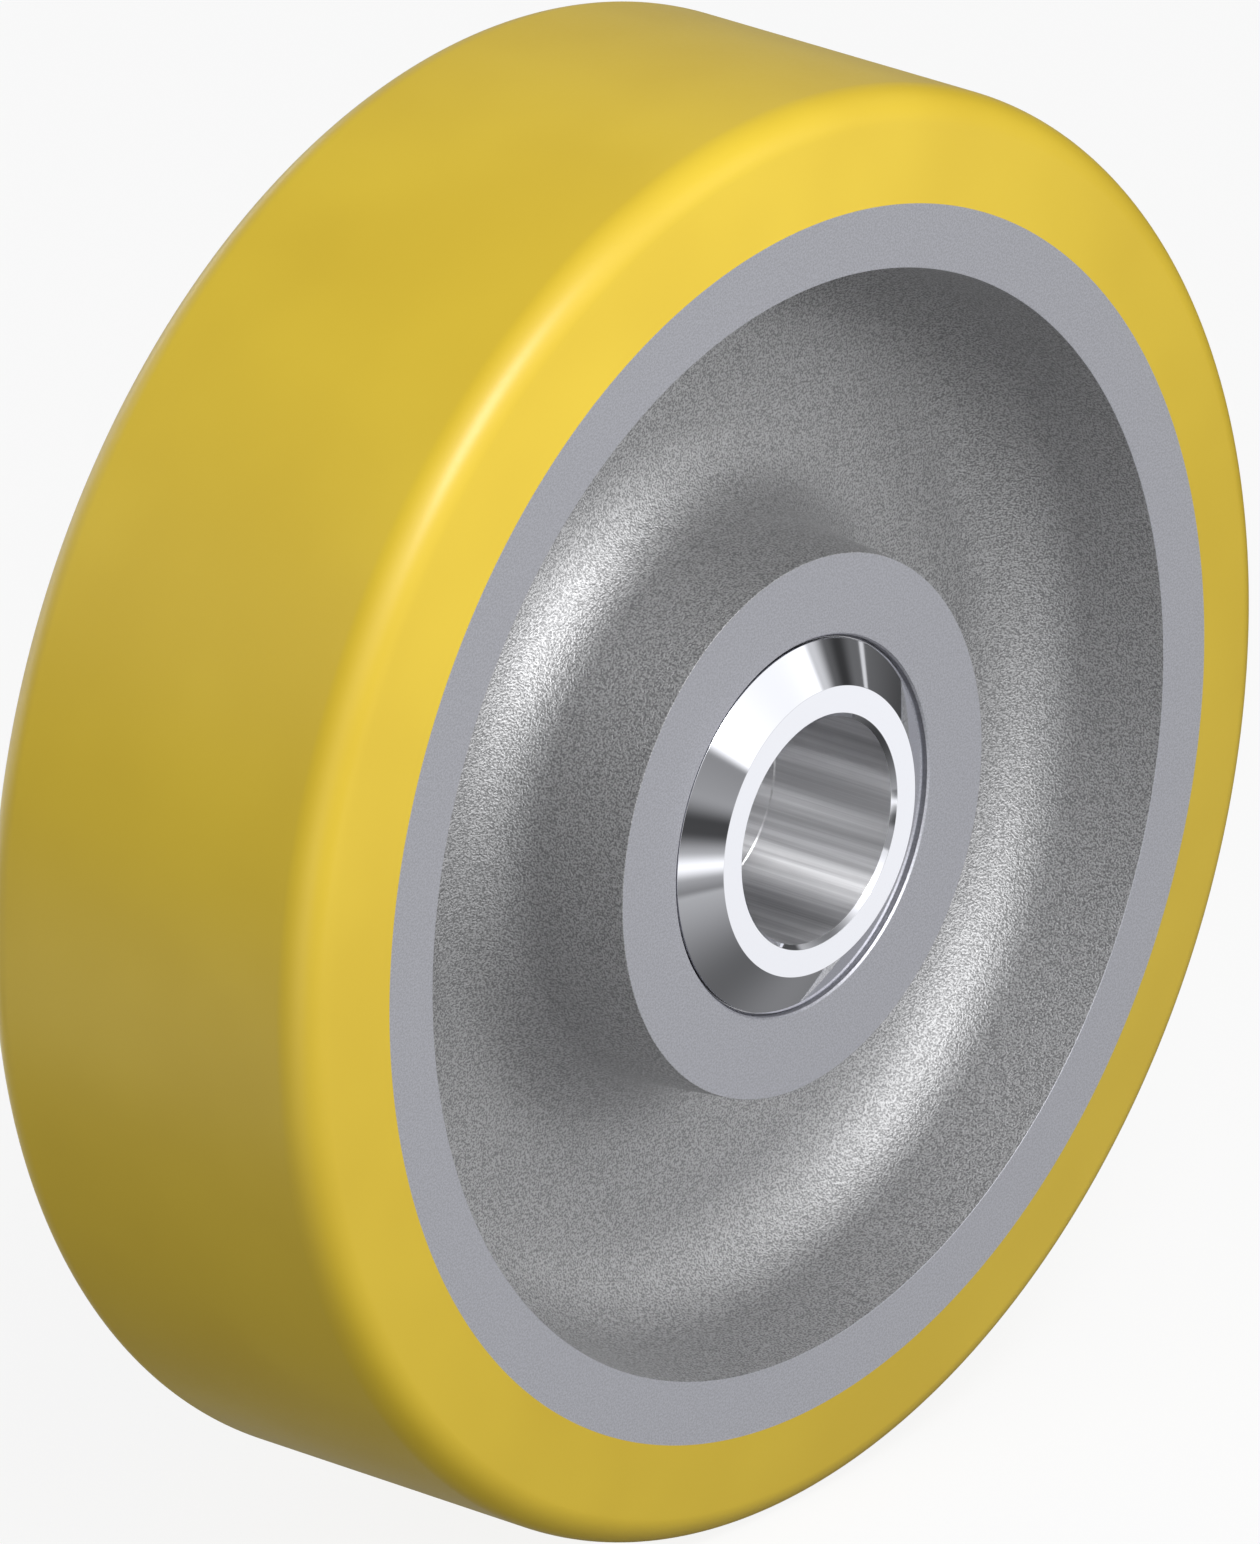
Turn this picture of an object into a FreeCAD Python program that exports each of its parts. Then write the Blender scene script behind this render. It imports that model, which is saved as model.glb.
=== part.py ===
import FreeCAD, Part
import math
import os

# Heavy-duty wheel with a polyurethane tread, an iron centre and two ball bearings.
# Millimetres. The wheel turns about the Y axis, its centre is the origin,
# and its front looks along -Y.

# Tread
wheel_diameter = 160.0
tread_thickness = 12.0
tread_flank_draft = 8.75
tread_shoulder_radius = 4.2

# Cast centre
face_width = 48.0
rim_thickness = 7.0
web_thickness = 10.0
hub_wall = 9.0
dish_draft = 5.6
rim_fillet = 10.0
hub_fillet = 9.0
seat_shoulder = 1.2
seat_chamfer = 0.3

# Ball bearings
bearing_bore = 30.0
bearing_outer_diameter = 42.0
bearing_width = 7.0
bearing_recess = 0.65
ring_chamfer = 0.3
ball_diameter = 3.5
ball_count = 18
first_ball_angle = 5.0
ball_clearance = 0.03
raceway_conformity = 1.04
raceway_depth = 0.65

# Bearing cages, pressed from strip and riveted
cage_width = 1.5
cage_strip = 0.35
pocket_clearance = 0.1
rivet_diameter = 0.6
rivet_head_diameter = 1.0
rivet_head_height = 0.15

# Bearing seals
seal_thickness = 0.7
seal_recess = 0.2
seal_seat_wall = 1.1
seal_lip_height = 0.5
seal_lip_thickness = 0.3
seal_clearance = 0.05

# Conical sleeves, whose tubes carry the bearings, and the tube that fills the bore between them
axle_bore = 25.0
sleeve_length = 16.5
sleeve_stand_out = 2.25
sleeve_end_wall = 3.5
sleeve_edge_gap = 0.6
sleeve_edge_thickness = 0.2
sleeve_clearance = 0.15
sleeve_foot_width = 1.7
sleeve_lead_in = 0.4
bore_chamfer = 0.5
joint_chamfer = 0.15

# Places worked out from the sizes above
wheel_radius = wheel_diameter / 2
bond_radius = wheel_radius - tread_thickness
rim_inner_radius = bond_radius - rim_thickness
half_face = face_width / 2
half_web = web_thickness / 2
bore_radius = axle_bore / 2
tube_radius = bearing_bore / 2
seat_radius = bearing_outer_diameter / 2
hub_radius = seat_radius + hub_wall
bearing_face = half_face - bearing_recess
seat_floor = bearing_face - bearing_width
bearing_middle = bearing_face - bearing_width / 2
pitch_radius = (tube_radius + seat_radius) / 2
ball_radius = ball_diameter / 2
raceway_radius = ball_radius * raceway_conformity
inner_raceway_floor = pitch_radius - ball_radius - ball_clearance
outer_raceway_floor = pitch_radius + ball_radius + ball_clearance
inner_land_radius = inner_raceway_floor + raceway_depth
outer_land_radius = outer_raceway_floor - raceway_depth
seal_seat_radius = seat_radius - seal_seat_wall
sleeve_end = half_face + sleeve_stand_out
sleeve_joint = sleeve_end - sleeve_length
ball_step = 360.0 / ball_count

origin = FreeCAD.Vector(0, 0, 0)
spin_axis = FreeCAD.Vector(0, 1, 0)


# A corner is (radius, y) or (radius, y, rounding). The outline is closed and turned about Y.
def turned(corners):
    places = [FreeCAD.Vector(corner[0], corner[1], 0) for corner in corners]
    starts = []
    ends = []
    arcs = []
    for index, corner in enumerate(corners):
        place = places[index]
        rounding = corner[2] if len(corner) > 2 else 0
        if not rounding:
            starts.append(place)
            ends.append(place)
            arcs.append(None)
            continue
        back = (places[index - 1] - place).normalize()
        ahead = (places[(index + 1) % len(places)] - place).normalize()
        half_angle = back.getAngle(ahead) / 2
        reach = rounding / math.tan(half_angle)
        start = place + back * reach
        end = place + ahead * reach
        inward = (back + ahead).normalize()
        middle = place + inward * (rounding / math.sin(half_angle) - rounding)
        starts.append(start)
        ends.append(end)
        arcs.append(Part.Arc(start, middle, end).toShape())
    edges = []
    for index, end in enumerate(ends):
        if arcs[index]:
            edges.append(arcs[index])
        following = starts[(index + 1) % len(starts)]
        if end.distanceToPoint(following) > 1e-6:
            edges.append(Part.LineSegment(end, following).toShape())
    return facing_out(Part.Face(Part.Wire(edges)).revolve(origin, spin_axis, 360))


def facing_out(solid):
    if solid.Volume < 0:
        solid.reverse()
    return solid


# A plain ring between two radii and two places along the axis.
def band(inner, outer, low, high):
    return turned([(inner, low), (outer, low), (outer, high), (inner, high)])


# Bearing pieces are drawn about the bearing's own middle, with +Y towards the outside of the
# wheel, and this puts a copy in the back bearing or, mirrored, in the front one.
def seated(shape, side):
    placed = shape.copy()
    placed.translate(spin_axis * bearing_middle)
    return placed if side == "back" else placed.mirror(origin, spin_axis)


# Copies of a small piece at every ball, or turned on from the balls by an angle.
def around(shape, angle_on=0.0):
    copies = []
    for index in range(ball_count):
        copy = shape.copy()
        copy.rotate(origin, spin_axis, first_ball_angle + angle_on + index * ball_step)
        copies.append(copy)
    return Part.makeCompound(copies)


# The cast tyre: a flat tread, rounded shoulders and flanks that lean in from the rim's faces.
def tread():
    flank_lean = tread_thickness * math.tan(math.radians(tread_flank_draft))
    crown = half_face - flank_lean
    return turned([
        (bond_radius, -half_face),
        (wheel_radius, -crown, tread_shoulder_radius),
        (wheel_radius, crown, tread_shoulder_radius),
        (bond_radius, half_face),
    ])


# Rim, web and hub in one casting, hollowed by a dish on each side, with the bearing seats turned.
def wheel_centre():
    dish_lean = (half_face - half_web) * math.tan(math.radians(dish_draft))
    rim_foot = rim_inner_radius - dish_lean
    hub_foot = hub_radius + dish_lean
    shoulder_radius = seat_radius - seat_shoulder
    return turned([
        (bond_radius, half_face),
        (bond_radius, -half_face),
        (rim_inner_radius, -half_face),
        (rim_foot, -half_web, rim_fillet),
        (hub_foot, -half_web, hub_fillet),
        (hub_radius, -half_face),
        (seat_radius + seat_chamfer, -half_face),
        (seat_radius, -half_face + seat_chamfer),
        (seat_radius, -seat_floor),
        (shoulder_radius, -seat_floor),
        (shoulder_radius, seat_floor),
        (seat_radius, seat_floor),
        (seat_radius, half_face - seat_chamfer),
        (seat_radius + seat_chamfer, half_face),
        (hub_radius, half_face),
        (hub_foot, half_web, hub_fillet),
        (rim_foot, half_web, rim_fillet),
        (rim_inner_radius, half_face),
    ])


# The sleeve's tube is pressed through the inner ring and bored for the axle. Its foot stands on
# the ring's face, and its cone covers the bearing down to a thin edge clear of the outer ring.
def sleeve(side):
    edge_radius = seat_radius - sleeve_edge_gap
    underside = bearing_face + sleeve_clearance
    foot_radius = tube_radius + sleeve_foot_width
    shape = turned([
        (bore_radius, sleeve_joint + joint_chamfer),
        (bore_radius + joint_chamfer, sleeve_joint),
        (tube_radius - sleeve_lead_in, sleeve_joint),
        (tube_radius, sleeve_joint + sleeve_lead_in),
        (tube_radius, bearing_face),
        (foot_radius, bearing_face),
        (foot_radius, underside),
        (edge_radius, underside),
        (edge_radius, underside + sleeve_edge_thickness),
        (bore_radius + sleeve_end_wall, sleeve_end),
        (bore_radius + bore_chamfer, sleeve_end),
        (bore_radius, sleeve_end - bore_chamfer),
    ])
    return shape if side == "back" else shape.mirror(origin, spin_axis)


# The tube that keeps the two sleeves apart when the axle is tightened, with the same bore.
def spacer_tube():
    return turned([
        (bore_radius, -sleeve_joint + joint_chamfer),
        (bore_radius + joint_chamfer, -sleeve_joint),
        (tube_radius, -sleeve_joint),
        (tube_radius, sleeve_joint),
        (bore_radius + joint_chamfer, sleeve_joint),
        (bore_radius, sleeve_joint - joint_chamfer),
    ])


# The groove that the balls run in: a ring of round section round the bearing's axis.
def raceway(centre_radius):
    return Part.makeTorus(centre_radius, raceway_radius, origin, spin_axis)


def bearing_outer_ring():
    half = bearing_width / 2
    seal_step = half - seal_recess - seal_thickness
    blank = turned([
        (outer_land_radius, -seal_step),
        (seal_seat_radius, -seal_step),
        (seal_seat_radius, -half),
        (seat_radius - ring_chamfer, -half),
        (seat_radius, -half + ring_chamfer),
        (seat_radius, half - ring_chamfer),
        (seat_radius - ring_chamfer, half),
        (seal_seat_radius, half),
        (seal_seat_radius, seal_step),
        (outer_land_radius, seal_step),
    ])
    return blank.cut(raceway(outer_raceway_floor - raceway_radius))


def bearing_inner_ring():
    half = bearing_width / 2
    blank = turned([
        (tube_radius, -half + ring_chamfer),
        (tube_radius + ring_chamfer, -half),
        (inner_land_radius, -half),
        (inner_land_radius, half),
        (tube_radius + ring_chamfer, half),
        (tube_radius, half - ring_chamfer),
    ])
    return blank.cut(raceway(inner_raceway_floor + raceway_radius))


def bearing_balls():
    ball = Part.makeSphere(ball_radius, FreeCAD.Vector(pitch_radius, 0, 0))
    return around(ball)


# One half of the cage: a flat ring of strip with a round cup pressed out over each ball.
# The other half is its mirror image, and rivets between the balls hold the two together.
def bearing_cage_half(direction):
    pocket_radius = ball_radius + pocket_clearance
    cup_radius = pocket_radius + cage_strip
    inner = pitch_radius - cage_width / 2
    outer = pitch_radius + cage_width / 2
    place = FreeCAD.Vector(pitch_radius, 0, 0)
    cups = band(inner, outer, 0, cup_radius).common(around(Part.makeSphere(cup_radius, place)))
    strip = band(inner, outer, 0, cage_strip)
    hole = Part.makeCylinder(rivet_diameter / 2, cage_strip, place, spin_axis)
    half = strip.fuse(cups.Solids)
    half = half.cut(around(Part.makeSphere(pocket_radius, place)))
    half = half.cut(around(hole, ball_step / 2)).removeSplitter()
    half = facing_out(half.Solids[0])
    return half if direction > 0 else half.mirror(origin, spin_axis)


# A rivet with a flat head on each face of the cage.
def bearing_cage_rivets():
    shank = Part.makeCylinder(
        rivet_diameter / 2,
        2 * cage_strip,
        FreeCAD.Vector(pitch_radius, -cage_strip, 0),
        spin_axis,
    )
    rivet = shank
    for face in (-cage_strip - rivet_head_height, cage_strip):
        head = Part.makeCylinder(
            rivet_head_diameter / 2,
            rivet_head_height,
            FreeCAD.Vector(pitch_radius, face, 0),
            spin_axis,
        )
        rivet = rivet.fuse(head)
    return around(rivet.Solids[0], ball_step / 2)


# A rubber seal let into the outer ring, with a thin lip that runs just clear of the inner ring.
def bearing_seal(direction):
    outer_face = bearing_width / 2 - seal_recess
    inner_face = outer_face - seal_thickness
    lip_radius = inner_land_radius + seal_clearance
    lip_top = inner_face + seal_lip_thickness
    shape = turned([
        (lip_radius, inner_face),
        (seal_seat_radius, inner_face),
        (seal_seat_radius, outer_face),
        (lip_radius + seal_lip_height, outer_face),
        (lip_radius + seal_lip_height, lip_top),
        (lip_radius, lip_top),
    ])
    return shape if direction > 0 else shape.mirror(origin, spin_axis)


nodes = {
    "tread": tread(),
    "wheel_centre": wheel_centre(),
    "spacer_tube": spacer_tube(),
}

bearing_pieces = {
    "outer_ring": bearing_outer_ring(),
    "inner_ring": bearing_inner_ring(),
    "balls": bearing_balls(),
    "cage_outer_half": bearing_cage_half(1),
    "cage_inner_half": bearing_cage_half(-1),
    "cage_rivets": bearing_cage_rivets(),
    "outer_seal": bearing_seal(1),
    "inner_seal": bearing_seal(-1),
}

for side in ("front", "back"):
    nodes[side + "_sleeve"] = sleeve(side)
    for name, shape in bearing_pieces.items():
        nodes[side + "_bearing_" + name] = seated(shape, side)

os.makedirs("parts", exist_ok=True)
for name, shape in nodes.items():
    shape.exportStep("parts/" + name + ".step")
    print(name, len(shape.Solids), round(shape.Volume, 2))
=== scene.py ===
import math
import bpy
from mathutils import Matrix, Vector


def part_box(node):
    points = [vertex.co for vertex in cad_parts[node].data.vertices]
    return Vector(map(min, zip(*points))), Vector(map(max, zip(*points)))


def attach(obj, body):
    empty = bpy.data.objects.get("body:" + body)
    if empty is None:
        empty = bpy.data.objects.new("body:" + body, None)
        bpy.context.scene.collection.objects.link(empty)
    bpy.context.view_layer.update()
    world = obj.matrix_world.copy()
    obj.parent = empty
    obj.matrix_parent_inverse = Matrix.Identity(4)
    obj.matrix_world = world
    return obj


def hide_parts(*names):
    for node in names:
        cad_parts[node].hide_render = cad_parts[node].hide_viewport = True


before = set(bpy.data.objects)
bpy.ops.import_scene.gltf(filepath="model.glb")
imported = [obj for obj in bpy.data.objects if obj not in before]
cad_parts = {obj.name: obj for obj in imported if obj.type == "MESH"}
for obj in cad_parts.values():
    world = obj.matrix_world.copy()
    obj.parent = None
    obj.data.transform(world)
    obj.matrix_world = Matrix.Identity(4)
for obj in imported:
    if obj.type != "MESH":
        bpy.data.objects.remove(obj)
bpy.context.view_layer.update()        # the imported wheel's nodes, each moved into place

mm = 0.001
scene = bpy.context.scene
print("frame loaded with", len(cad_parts), "nodes")


# A socket that takes plain arithmetic: each operator adds the Math node for it.
class Wire:
    def __init__(self, board, socket):
        self.board = board
        self.socket = socket

    def __add__(self, other):
        return self.board.calculate("ADD", self, other)

    def __radd__(self, other):
        return self.board.calculate("ADD", other, self)

    def __sub__(self, other):
        return self.board.calculate("SUBTRACT", self, other)

    def __rsub__(self, other):
        return self.board.calculate("SUBTRACT", other, self)

    def __mul__(self, other):
        return self.board.calculate("MULTIPLY", self, other)

    def __rmul__(self, other):
        return self.board.calculate("MULTIPLY", other, self)


# The nodes of one material or of the world. Every node is added by addNode.
class Board:
    def __init__(self, owner):
        owner.use_nodes = True
        self.tree = owner.node_tree
        self.tree.nodes.clear()

    def addNode(self, kind, settings=None, sockets=None, output=0):
        node = self.tree.nodes.new("ShaderNode" + kind)
        for setting, value in (settings or {}).items():
            setattr(node, setting, value)
        for place, value in (sockets or {}).items():
            self.feed(node.inputs[place], value)
        return Wire(self, node.outputs[output]) if len(node.outputs) else node

    def feed(self, socket, value):
        if isinstance(value, Wire):
            self.tree.links.new(value.socket, socket)
        elif socket.type == "RGBA" and len(value) == 3:
            socket.default_value = (*value, 1)
        else:
            socket.default_value = value

    def calculate(self, operation, first, second=0.0):
        return self.addNode("Math", {"operation": operation}, {0: first, 1: second})

    # 0 below low and 1 above high, with a soft step between
    def step(self, value, low, high, atLow=0.0, atHigh=1.0):
        sockets = {"Value": value, 1: low, 2: high, 3: atLow, 4: atHigh}
        return self.addNode("MapRange", {"interpolation_type": "SMOOTHSTEP"}, sockets)

    def mixColours(self, factor, first, second):
        return self.addNode("Mix", {"data_type": "RGBA"}, {0: factor, 6: first, 7: second}, 2)

    # where a point is on the piece, in millimetres along the piece's own axes
    def placeOnPiece(self):
        place = self.addNode("TexCoord", output="Object")
        return self.addNode("VectorMath", {"operation": "SCALE"}, {0: place, "Scale": 1000})

    # noise with features about size millimetres across, around 0.5
    def grain(self, place, size, detail=2.0, roughness=0.5):
        sockets = {"Vector": place, "Scale": 1 / size, "Detail": detail, "Roughness": roughness}
        return self.addNode("TexNoise", {}, sockets)

    # the same point, with its three parts scaled by as much as scales says
    def squeezed(self, place, scales):
        return self.addNode("VectorMath", {"operation": "MULTIPLY"}, {0: place, 1: scales})

    # distance from the piece's own Z axis, in millimetres
    def distanceOut(self, place):
        flat = self.squeezed(place, (1, 1, 0))
        return self.addNode("VectorMath", {"operation": "LENGTH"}, {0: flat}, "Value")

    def bump(self, height, strength, depth):
        sockets = {"Height": height, "Strength": strength, "Distance": depth}
        return self.addNode("Bump", {}, sockets)

    def surface(self, sockets):
        shader = self.addNode("BsdfPrincipled", {}, sockets)
        self.addNode("OutputMaterial", {}, {"Surface": shader})


def newMaterial(name):
    material = bpy.data.materials.new(name)
    return material, Board(material)


# Camera

camera = {
    "azimuth": -50.16,      # degrees, 0 looks along +Y
    "elevation": 22.1,
    "distance": 3.0,
    "widthSeen": 134.5 * mm,
    "sensor": 36.0,
    "nearestSeen": 0.1,
}


def directionTo(azimuth, elevation):
    a = math.radians(azimuth)
    e = math.radians(elevation)
    return Vector((math.sin(a) * math.cos(e), -math.cos(a) * math.cos(e), math.sin(e)))


def placeCamera():
    lens = bpy.data.cameras.new("camera")
    lens.sensor_fit = "HORIZONTAL"
    lens.sensor_width = camera["sensor"]
    lens.lens = camera["sensor"] * camera["distance"] / camera["widthSeen"]
    lens.clip_start = camera["nearestSeen"]
    stand = bpy.data.objects.new("camera", lens)
    scene.collection.objects.link(stand)
    back = directionTo(camera["azimuth"], camera["elevation"])
    stand.location = back * camera["distance"]
    stand.rotation_euler = back.to_track_quat("Z", "Y").to_euler()
    scene.camera = stand


placeCamera()
print("camera placed")


# Studio: a white room for the camera, and for the light and the reflections a grey room with
# soft lamps, blinds that darken a stretch of it, and crisp panels. Angles are in degrees.

studio = {
    "tint": (0.985, 0.99, 1.0),
    "below": 0.05,          # grey of the room's lower and upper part
    "above": 0.02,
    "change": (-30.0, -5.0),    # elevations between which one turns into the other
    "lampSpread": 9.0,
    "lamps": [              # azimuth, elevation, strength
        (-27.0, 47.0, 2.15),
        (90.0, 79.0, 0.2),
        (13.0, 9.0, 0.15),
        (0.0, -18.0, 1.15),
        (65.0, 3.0, 1.0),
        (-52.0, -11.0, 1.15),
        (73.0, -44.0, 0.5),
        (130.0, 24.0, 0.18),
        (135.0, -20.0, 0.3),
        (176.0, 3.0, 1.6),
        (-145.0, 25.0, 0.25),
        (-108.0, -36.0, 0.35),
    ],
    "blinds": [             # from and to azimuth, from and to elevation, softness, darkness
        (-50.0, 130.0, -95.0, -24.0, 10.0, 0.57),
        (-40.0, 4.0, -27.0, 14.0, 2.5, 0.6),
        (-40.0, 4.0, -11.5, -1.5, 7.0, 0.85),
        (55.0, 112.0, -24.0, 22.0, 6.0, 0.85),
        (60.0, 66.0, 0.0, 24.0, 5.0, 0.7),
    ],
    "panels": [             # from and to azimuth, from and to elevation, softness, strength
        (4.0, 50.0, 10.0, 38.0, 3.0, 0.75),
        (-40.0, 3.0, -20.5, -16.0, 4.5, 0.75),
        (38.0, 62.0, -28.0, -16.0, 3.0, 0.5),
        (71.8, 73.6, -8.0, 20.0, 1.0, 0.6),
        (-150.0, -118.0, -34.0, -12.0, 5.0, 0.7),
        (-146.0, -126.0, 12.0, 34.0, 3.0, 0.7),
        (148.0, 178.0, 9.0, 15.0, 2.0, 2.0),
        (148.0, 178.0, -24.0, -20.0, 1.5, 1.6),
        (-178.0, -150.0, -5.0, 2.0, 2.0, 2.0),
        (-176.0, -156.0, 26.0, 34.0, 2.0, 2.0),
    ],
}


# The direction that a ray of light comes from, as the studio's lamps, blinds and panels use it.
class Heading:
    def __init__(self, board):
        self.board = board
        self.direction = board.addNode("TexCoord", output="Generated")
        x, y, z = [board.addNode("SeparateXYZ", {}, {0: self.direction}, axis) for axis in "XYZ"]
        self.azimuth = board.calculate("ARCTAN2", x, y * -1.0) * math.degrees(1)
        self.elevation = board.calculate("ARCSINE", z) * math.degrees(1)

    def glow(self, azimuth, elevation, spread):
        towards = directionTo(azimuth, elevation)
        sockets = {0: self.direction, 1: towards}
        facing = self.board.addNode("VectorMath", {"operation": "DOT_PRODUCT"}, sockets, "Value")
        return self.board.calculate("EXPONENT", (facing - 1.0) * spread)

    def stretch(self, angle, low, high, softness):
        rise = self.board.step(angle, low - softness / 2, low + softness / 2)
        return rise * self.board.step(angle, high - softness / 2, high + softness / 2, 1.0, 0.0)

    def window(self, left, right, bottom, top, softness):
        across = self.stretch(self.azimuth, left, right, softness)
        return across * self.stretch(self.elevation, bottom, top, softness)


def lightStudio():
    world = bpy.data.worlds.new("studio")
    scene.world = world
    board = Board(world)
    heading = Heading(board)
    low, high = studio["change"]
    grey = board.step(heading.elevation, low, high, studio["below"], studio["above"])
    for azimuth, elevation, strength in studio["lamps"]:
        grey = grey + heading.glow(azimuth, elevation, studio["lampSpread"]) * strength
    for *edges, darkness in studio["blinds"]:
        grey = grey * (1.0 - heading.window(*edges) * darkness)
    for *edges, strength in studio["panels"]:
        grey = grey + heading.window(*edges) * strength
    lit = board.addNode("Background", {}, {"Color": studio["tint"], "Strength": grey})
    white = board.addNode("Background", {}, {"Color": (1, 1, 1), "Strength": 1.0})
    seen = board.addNode("LightPath", output="Is Camera Ray")
    shown = board.addNode("MixShader", {}, {0: seen, 1: lit, 2: white})
    board.addNode("OutputWorld", {}, {"Surface": shown})


softbox = {
    "azimuth": -20.0,
    "elevation": 45.0,
    "distance": 0.35,
    "size": 0.12,
    "power": 0.53,
}


# A near lamp over the front of the wheel, so that the tread is brighter at the top than below
def hangSoftbox():
    lamp = bpy.data.lights.new("softbox", "AREA")
    lamp.shape = "SQUARE"
    lamp.size = softbox["size"]
    lamp.energy = softbox["power"]
    stand = bpy.data.objects.new("softbox", lamp)
    scene.collection.objects.link(stand)
    away = directionTo(softbox["azimuth"], softbox["elevation"])
    stand.location = away * softbox["distance"]
    stand.rotation_euler = away.to_track_quat("Z", "Y").to_euler()
    stand.visible_camera = False


floor = {
    "height": -80.0 * mm,
    "size": 3.0,
    "colour": (0.86, 0.86, 0.86),
    "glow": 0.88,           # share of plain white that the camera sees, the rest takes the shadow
}


def layFloor():
    half = floor["size"] / 2
    corners = [(-half, -half, 0), (half, -half, 0), (half, half, 0), (-half, half, 0)]
    mesh = bpy.data.meshes.new("floor")
    mesh.from_pydata(corners, [], [(0, 1, 2, 3)])
    sheet = bpy.data.objects.new("floor", mesh)
    scene.collection.objects.link(sheet)
    sheet.location.z = floor["height"]
    material, board = newMaterial("floor")
    matt = board.addNode("BsdfDiffuse", {}, {"Color": floor["colour"]})
    glow = board.addNode("Emission", {}, {"Color": (1, 1, 1), "Strength": 1.0})
    seen = board.addNode("LightPath", output="Is Camera Ray")
    shown = board.addNode("MixShader", {}, {0: seen * floor["glow"], 1: matt, 2: glow})
    board.addNode("OutputMaterial", {}, {"Surface": shown})
    mesh.materials.append(material)
    sheet.visible_glossy = False        # the metal shows the studio's own lower half
    sheet.visible_diffuse = False


lightStudio()
hangSoftbox()
layFloor()
print("studio lit")


# Turned pieces

turning = {
    "segments": 360,
    "arcSteps": 24,
    "sharpFrom": 28.0,      # degrees between two faces
}


# Corners are (radius, height, finish, rounding). The run from a corner to the next has its finish.
def roundedOutline(corners, arcSteps):
    spots = [Vector(corner[:2]) for corner in corners]
    outline = []
    for index, corner in enumerate(corners):
        spot = spots[index]
        finish = corner[2]
        rounding = corner[3] if len(corner) > 3 else 0
        if not rounding:
            outline.append((spot, finish))
            continue
        back = (spots[index - 1] - spot).normalized()
        ahead = (spots[(index + 1) % len(spots)] - spot).normalized()
        halfAngle = back.angle(ahead) / 2
        centre = spot + (back + ahead).normalized() * (rounding / math.sin(halfAngle))
        first = spot + back * (rounding / math.tan(halfAngle)) - centre
        last = spot + ahead * (rounding / math.tan(halfAngle)) - centre
        turn = first.angle_signed(last)
        for step in range(arcSteps + 1):
            angle = -turn * step / arcSteps
            spun = Vector((
                first.x * math.cos(angle) - first.y * math.sin(angle),
                first.x * math.sin(angle) + first.y * math.cos(angle),
            ))
            outline.append((centre + spun, finish))
    return outline


# A closed outline spun about the piece's own Z. facing is -1 for the front of the wheel and 1
# for its back.
def turnedPiece(name, corners, finishes, facing=-1):
    outline = roundedOutline(corners, turning["arcSteps"])
    segments = turning["segments"]
    count = len(outline)
    points = []
    faces = []
    materialOf = []
    names = list(finishes)
    for turn in range(segments):
        angle = 2 * math.pi * turn / segments
        for spot, finish in outline:
            points.append((spot.x * math.cos(angle), spot.x * math.sin(angle), spot.y))
    for turn in range(segments):
        here = turn * count
        there = (turn + 1) % segments * count
        for index in range(count):
            following = (index + 1) % count
            faces.append((here + index, there + index, there + following, here + following))
            materialOf.append(names.index(outline[index][1]))
    mesh = bpy.data.meshes.new(name)
    mesh.from_pydata(points, [], faces)
    mesh.polygons.foreach_set("material_index", materialOf)
    mesh.polygons.foreach_set("use_smooth", [True] * len(faces))
    mesh.set_sharp_from_angle(angle=math.radians(turning["sharpFrom"]))
    for finish in names:
        mesh.materials.append(finishes[finish])
    mesh.update()
    piece = bpy.data.objects.new(name, mesh)
    scene.collection.objects.link(piece)
    piece.rotation_euler.x = -facing * math.pi / 2
    evenShading = piece.modifiers.new("even shading", "WEIGHTED_NORMAL")
    evenShading.keep_sharp = True
    return piece


# Finishes. Sizes of grain are in millimetres, and a spread says how far the roughness varies.

polyurethane = {
    "colour": (0.76, 0.545, 0.040),
    "deepColour": (0.71, 0.50, 0.034),
    "cloudSize": 26.0,
    "cloudEdges": (0.3, 0.7),
    "roughness": 0.35,
    "skinSpread": 0.08,
    "cloudSpread": 0.03,
    "skinSize": 0.55,
    "skinBump": 0.6,
    "skinDepth": 0.004 * mm,
    "refraction": 1.5,
}


def makePolyurethane():
    look = polyurethane
    material, board = newMaterial("castPolyurethane")
    place = board.placeOnPiece()
    cloud = board.step(board.grain(place, look["cloudSize"]), *look["cloudEdges"])
    skin = board.grain(place, look["skinSize"], 3.0)
    roughness = look["roughness"] + (skin - 0.5) * look["skinSpread"]
    board.surface({
        "Base Color": board.mixColours(cloud, look["colour"], look["deepColour"]),
        "Roughness": roughness + (cloud - 0.5) * look["cloudSpread"],
        "Normal": board.bump(skin, look["skinBump"], look["skinDepth"]),
        "IOR": look["refraction"],
    })
    return material


castIron = {
    "colour": (0.65, 0.65, 0.657),
    # painted shade: the base colour darkens to this in the grain's low points
    "shadedHollowColour": (0.35, 0.35, 0.355),
    "grainSize": 0.22,
    "grainDetail": (1.5, 0.45),
    "grainEdges": (0.36, 0.62),
    "lumpSize": 0.95,
    "lumpShare": 0.5,
    "roughness": 0.57,
    "spread": 0.12,
    "bump": 0.8,
    "depth": 0.12 * mm,
}


def makeCastIron():
    look = castIron
    material, board = newMaterial("castIron")
    place = board.placeOnPiece()
    fine = board.grain(place, look["grainSize"], *look["grainDetail"])
    lumps = board.grain(place, look["lumpSize"], 2.0)
    # The grain's low points take the darker base colour: the grain's own tone, with painted shade in
    # its hollows
    shadedHollows = board.step(fine, *look["grainEdges"], 1.0, 0.0)
    height = fine + lumps * look["lumpShare"]
    board.surface({
        "Base Color": board.mixColours(shadedHollows, look["colour"], look["shadedHollowColour"]),
        "Metallic": 1.0,
        "Roughness": look["roughness"] + (lumps - 0.5) * look["spread"],
        "Normal": board.bump(height, look["bump"], look["depth"]),
    })
    return material


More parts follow.
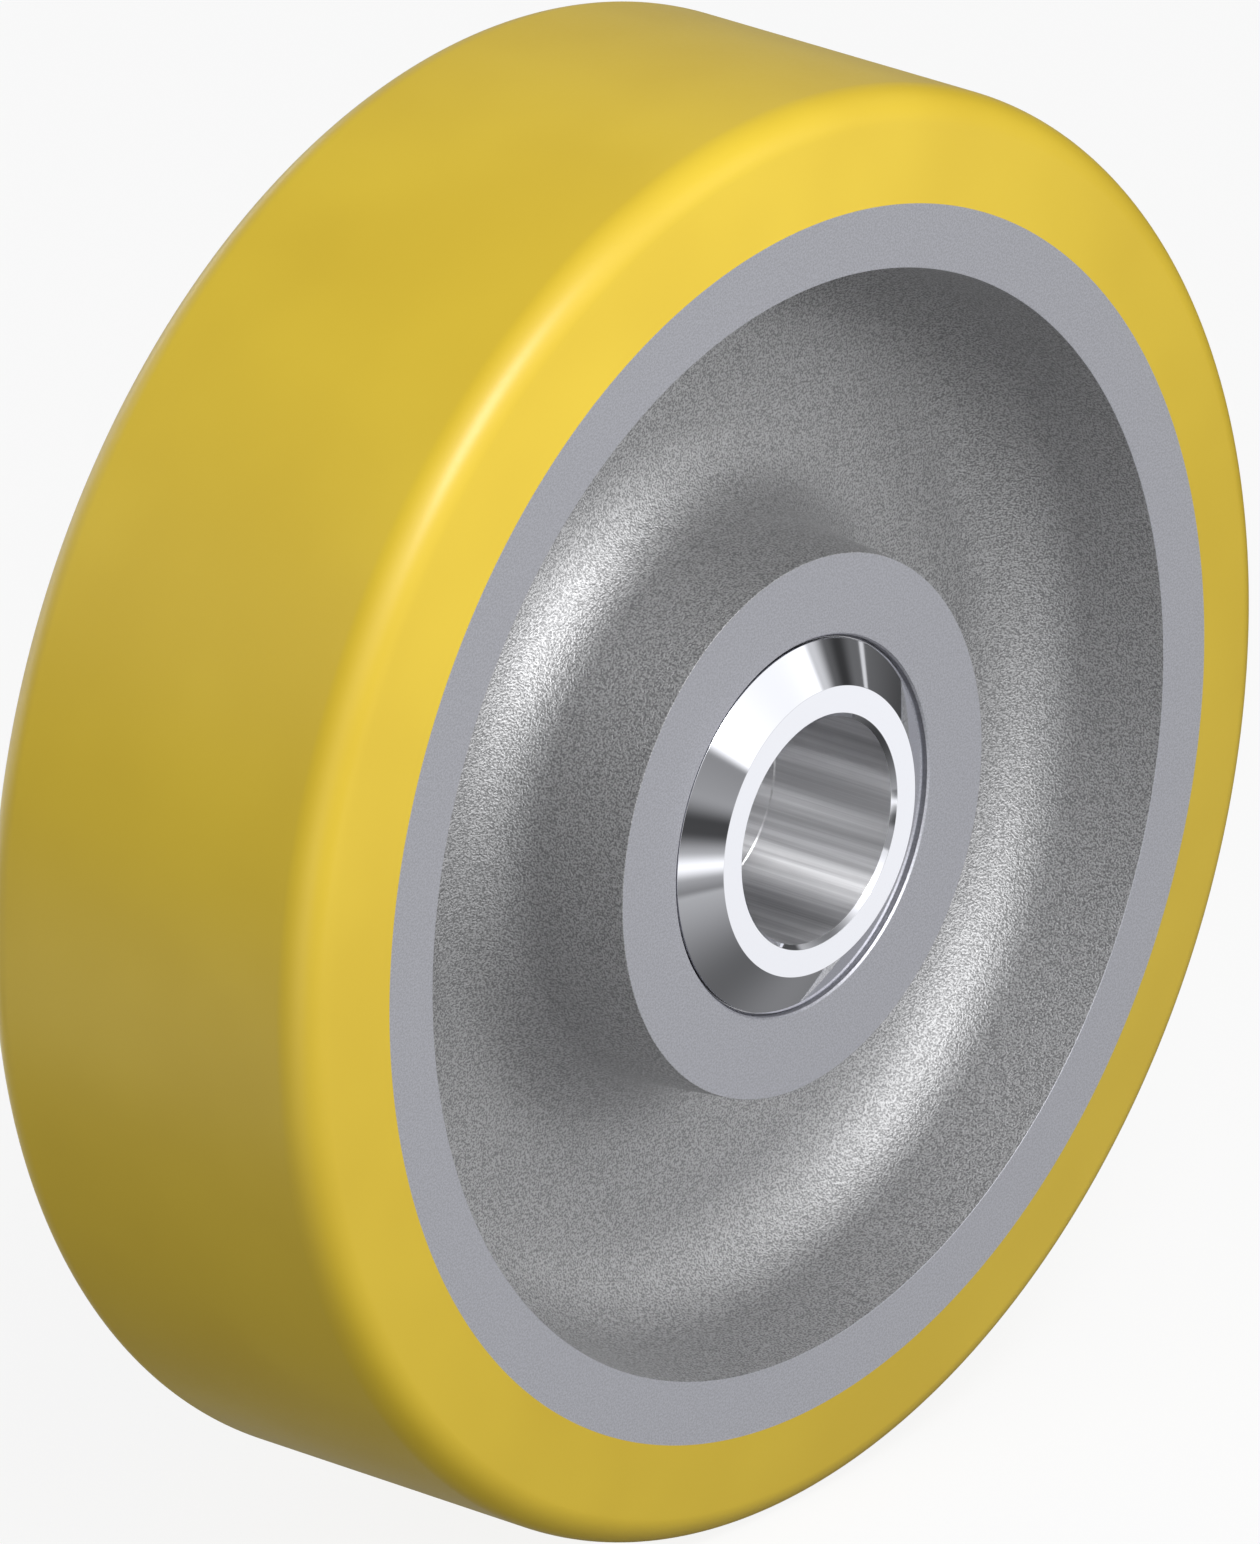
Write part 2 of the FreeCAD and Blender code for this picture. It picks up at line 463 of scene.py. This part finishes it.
turnedIron = {
    "colour": (0.72, 0.725, 0.778),
    "speckColour": (0.585, 0.589, 0.632),
    "grainSize": 0.22,
    "grainEdges": (0.35, 0.65),
    "roughness": 0.5,
    "spread": 0.1,
    "lineSpacing": 0.3,
    "lineShare": 0.15,
    "bump": 0.5,
    "depth": 0.004 * mm,
}


def makeTurnedIron():
    look = turnedIron
    material, board = newMaterial("turnedIron")
    place = board.placeOnPiece()
    speck = board.grain(place, look["grainSize"], 2.0, 0.6)
    bright = board.step(speck, *look["grainEdges"])
    turns = board.distanceOut(place) * (2 * math.pi / look["lineSpacing"])
    lines = board.calculate("SINE", turns)
    board.surface({
        "Base Color": board.mixColours(bright, look["speckColour"], look["colour"]),
        "Metallic": 1.0,
        "Roughness": look["roughness"] + (speck - 0.5) * look["spread"],
        "Normal": board.bump(lines * look["lineShare"] + speck, look["bump"], look["depth"]),
    })
    return material


chrome = {
    "colour": (0.85, 0.857, 0.90),
    "roughness": 0.045,
    "spread": 0.02,
    "hazeSize": 9.0,
}


def makeChrome():
    look = chrome
    material, board = newMaterial("sleeveChrome")
    haze = board.grain(board.placeOnPiece(), look["hazeSize"])
    board.surface({
        "Base Color": look["colour"],
        "Metallic": 1.0,
        "Roughness": look["roughness"] + (haze - 0.5) * look["spread"],
    })
    return material


# The bore has faint rings, which draw reflections out along the axis, and lines that run along it.
# The lines' bump and roughness are the bore's own; their light and dark base colour is a painted
# reflection streak.
reamedBore = {
    "colour": (0.94, 0.94, 0.96),
    # painted reflection streak: the darker stripes between the bright ones along the bore
    "darkStreakColour": (0.64, 0.64, 0.655),
    "roughness": 0.34,
    "anisotropy": 1.0,
    "alongAxis": 0.25,      # of a turn from the way round
    "lineSize": 1.7,        # round the bore
    "lineEdges": (0.34, 0.68),
    "lineSpread": 0.12,
    "ringSize": 0.14,       # along it
    "ringSpread": 0.05,
    "ringShare": 0.02,
    "bump": 0.25,
    "depth": 0.002 * mm,
}


def makeReamedBore():
    look = reamedBore
    material, board = newMaterial("reamedBore")
    place = board.placeOnPiece()
    lines = board.grain(board.squeezed(place, (1, 1, 0.012)), look["lineSize"], 4.0, 0.7)
    rings = board.grain(board.squeezed(place, (0.02, 0.02, 1)), look["ringSize"], 3.0, 0.65)
    # light and dark base colour along the lines: painted reflection streaks drawn out along the axis
    bright = board.step(lines, *look["lineEdges"])
    roughness = look["roughness"] + (rings - 0.5) * look["ringSpread"]
    height = rings * look["ringShare"] + lines
    board.surface({
        "Base Color": board.mixColours(bright, look["darkStreakColour"], look["colour"]),
        "Metallic": 1.0,
        "Roughness": roughness + (lines - 0.5) * look["lineSpread"],
        "Anisotropic": look["anisotropy"],
        "Anisotropic Rotation": look["alongAxis"],
        "Normal": board.bump(height, look["bump"], look["depth"]),
    })
    return material


# Plainer metals and the rubber inside the hub
innerFinishes = {           # colour, second colour, grain size, roughness, metallic, depth
    "bearingSteel": ((0.56, 0.56, 0.575), (0.48, 0.48, 0.50), 0.15, 0.26, 1.0, 0.001 * mm),
    "ballSteel": ((0.72, 0.72, 0.74), (0.69, 0.69, 0.71), 1.5, 0.08, 1.0, 0.0),
    "cageSteel": ((0.46, 0.45, 0.43), (0.38, 0.37, 0.355), 0.3, 0.38, 1.0, 0.003 * mm),
    "sealRubber": ((0.022, 0.022, 0.024), (0.032, 0.032, 0.034), 0.25, 0.62, 0.0, 0.006 * mm),
    "tubeSteel": ((0.42, 0.42, 0.43), (0.34, 0.34, 0.35), 0.35, 0.36, 1.0, 0.003 * mm),
}
innerGrain = {
    "edges": (0.35, 0.65),
    "spread": 0.12,
    "bump": 0.5,
}


def makeInnerFinish(name):
    colour, secondColour, grainSize, roughness, metallic, depth = innerFinishes[name]
    material, board = newMaterial(name)
    speck = board.grain(board.placeOnPiece(), grainSize, 2.0, 0.6)
    specks = board.step(speck, *innerGrain["edges"])
    board.surface({
        "Base Color": board.mixColours(specks, colour, secondColour),
        "Metallic": metallic,
        "Roughness": roughness + (speck - 0.5) * innerGrain["spread"],
        "Normal": board.bump(speck, innerGrain["bump"], depth),
    })
    return material


finishes = {name: makeInnerFinish(name) for name in innerFinishes}
finishes["polyurethane"] = makePolyurethane()
finishes["castIron"] = makeCastIron()
finishes["turnedIron"] = makeTurnedIron()
finishes["chrome"] = makeChrome()
finishes["reamedBore"] = makeReamedBore()
print("finishes made:", len(finishes))


def chosen(*names):
    return {name: finishes[name] for name in names}


# Tread: one casting of polyurethane on the rim

treadShape = {
    "flankDraft": 8.75,     # degrees
    "shoulderRadius": 4.2 * mm,
}


def makeTread():
    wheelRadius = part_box("tread")[1].x
    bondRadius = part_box("wheel_centre")[1].x
    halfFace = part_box("wheel_centre")[1].y
    crown = halfFace - (wheelRadius - bondRadius) * math.tan(math.radians(treadShape["flankDraft"]))
    shoulder = treadShape["shoulderRadius"]
    tread = turnedPiece("treadCasting", [
        (bondRadius, -halfFace, "polyurethane"),
        (wheelRadius, -crown, "polyurethane", shoulder),
        (wheelRadius, crown, "polyurethane", shoulder),
        (bondRadius, halfFace, "polyurethane"),
    ], chosen("polyurethane"))
    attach(tread, "wheel")
    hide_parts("tread")


# Wheel centre: the casting's dishes are left rough, its faces and bearing seats are turned

centreShape = {
    "rimThickness": 7.0 * mm,
    "hubRadius": 30.0 * mm,
    "halfWeb": 5.0 * mm,
    "dishDraft": 5.6,       # degrees
    "rimFillet": 10.0 * mm,
    "hubFillet": 9.0 * mm,
    "seatShoulder": 1.2 * mm,
    "seatChamfer": 0.2 * mm,
    "edge": 0.05 * mm,
}


def makeWheelCentre():
    shape = centreShape
    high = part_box("wheel_centre")[1]
    bondRadius = high.x
    halfFace = high.y
    rimInside = bondRadius - shape["rimThickness"]
    lean = (halfFace - shape["halfWeb"]) * math.tan(math.radians(shape["dishDraft"]))
    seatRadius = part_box("back_bearing_outer_ring")[1].x
    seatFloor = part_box("back_bearing_outer_ring")[0].y
    seatMouth = seatRadius + shape["seatChamfer"]
    edge = shape["edge"]
    halfOutline = [        # the side at the high end of the axis, from the bore outwards
        (seatRadius - shape["seatShoulder"], seatFloor, "turnedIron"),
        (seatRadius, seatFloor, "turnedIron"),
        (seatRadius, halfFace - shape["seatChamfer"], "turnedIron"),
        (seatMouth, halfFace, "turnedIron"),
        (shape["hubRadius"], halfFace, "castIron", edge),
        (shape["hubRadius"] + lean, shape["halfWeb"], "castIron", shape["hubFillet"]),
        (rimInside - lean, shape["halfWeb"], "castIron", shape["rimFillet"]),
        (rimInside, halfFace, "turnedIron", edge),
        (bondRadius, halfFace, "turnedIron"),
    ]
    corners = halfOutline + mirroredRuns(halfOutline)
    centre = turnedPiece("centreCasting", corners, chosen("castIron", "turnedIron"))
    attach(centre, "wheel")
    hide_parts("wheel_centre")


# The same corners at the low end of the axis in turned order, so that each run keeps its finish.
def mirroredRuns(corners):
    mirrored = []
    for index in range(len(corners) - 1, -1, -1):
        radius, height, finish, *rounding = corners[index]
        before = corners[index - 1][2] if index else finish
        mirrored.append((radius, -height, before, *rounding))
    return mirrored


# Sleeves: a plated cone over each bearing, and a tube through its inner ring with the axle's bore

sleeveShape = {
    "boreRadius": 12.5 * mm,
    "footWidth": 1.7 * mm,
    "underside": 0.15 * mm,
    "lipGap": 0.4 * mm,
    "lipThickness": 0.2 * mm,
    "endWall": 3.5 * mm,
    "leadIn": 0.4 * mm,
    "boreChamfer": 0.5 * mm,
    "jointChamfer": 0.15 * mm,
    "edge": 0.12 * mm,
    "boreEdge": 0.08 * mm,
}


def makeSleeve(side, facing):
    shape = sleeveShape
    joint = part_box("back_sleeve")[0].y
    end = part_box("back_sleeve")[1].y
    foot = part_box("back_bearing_inner_ring")[1].y
    boreRadius = shape["boreRadius"]
    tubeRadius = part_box("spacer_tube")[1].x
    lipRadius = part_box("back_bearing_outer_ring")[1].x - shape["lipGap"]
    underside = foot + shape["underside"]
    footRadius = tubeRadius + shape["footWidth"]
    piece = turnedPiece(side + "SleeveCone", [
        (boreRadius, joint + shape["jointChamfer"], "reamedBore"),
        (boreRadius + shape["jointChamfer"], joint, "reamedBore"),
        (tubeRadius - shape["leadIn"], joint, "reamedBore"),
        (tubeRadius, joint + shape["leadIn"], "reamedBore"),
        (tubeRadius, foot, "chrome"),
        (footRadius, foot, "chrome"),
        (footRadius, underside, "chrome"),
        (lipRadius, underside, "chrome"),
        (lipRadius, underside + shape["lipThickness"], "chrome", shape["boreEdge"]),
        (boreRadius + shape["endWall"], end, "chrome", shape["edge"]),
        (boreRadius + shape["boreChamfer"], end, "chrome", shape["boreEdge"]),
        (boreRadius, end - shape["boreChamfer"], "reamedBore", shape["boreEdge"]),
    ], chosen("chrome", "reamedBore"), facing)
    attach(piece, "axle_set")
    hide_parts(side + "_sleeve")


# The tube between the sleeves carries their bore on.
def makeSpacer():
    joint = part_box("spacer_tube")[1].y
    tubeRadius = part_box("spacer_tube")[1].x
    boreRadius = sleeveShape["boreRadius"]
    chamfer = sleeveShape["jointChamfer"]
    halfOutline = [
        (boreRadius, joint - chamfer, "reamedBore"),
        (boreRadius + chamfer, joint, "tubeSteel"),
        (tubeRadius, joint, "tubeSteel"),
    ]
    corners = halfOutline + mirroredRuns(halfOutline)
    spacer = turnedPiece("spacerTube", corners, chosen("tubeSteel", "reamedBore"))
    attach(spacer, "axle_set")
    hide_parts("spacer_tube")


makeTread()
makeWheelCentre()
makeSpacer()
for side, facing in (("front", -1), ("back", 1)):
    makeSleeve(side, facing)
print("wheel pieces made")


# The bearings are the frame's own solids, with their finishes

bearingFinish = {
    "outer_ring": "bearingSteel",
    "inner_ring": "bearingSteel",
    "balls": "ballSteel",
    "cage_outer_half": "cageSteel",
    "cage_inner_half": "cageSteel",
    "cage_rivets": "cageSteel",
    "outer_seal": "sealRubber",
    "inner_seal": "sealRubber",
}


def dressNode(node, finish):
    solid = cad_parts[node]
    if not solid.material_slots:
        solid.data.materials.append(finish)
    for materialSlot in solid.material_slots:
        materialSlot.material = finish


for side in ("front", "back"):
    for piece, finish in bearingFinish.items():
        dressNode(side + "_bearing_" + piece, finishes[finish])
print("bearings dressed")

scene.view_settings.view_transform = "Standard"
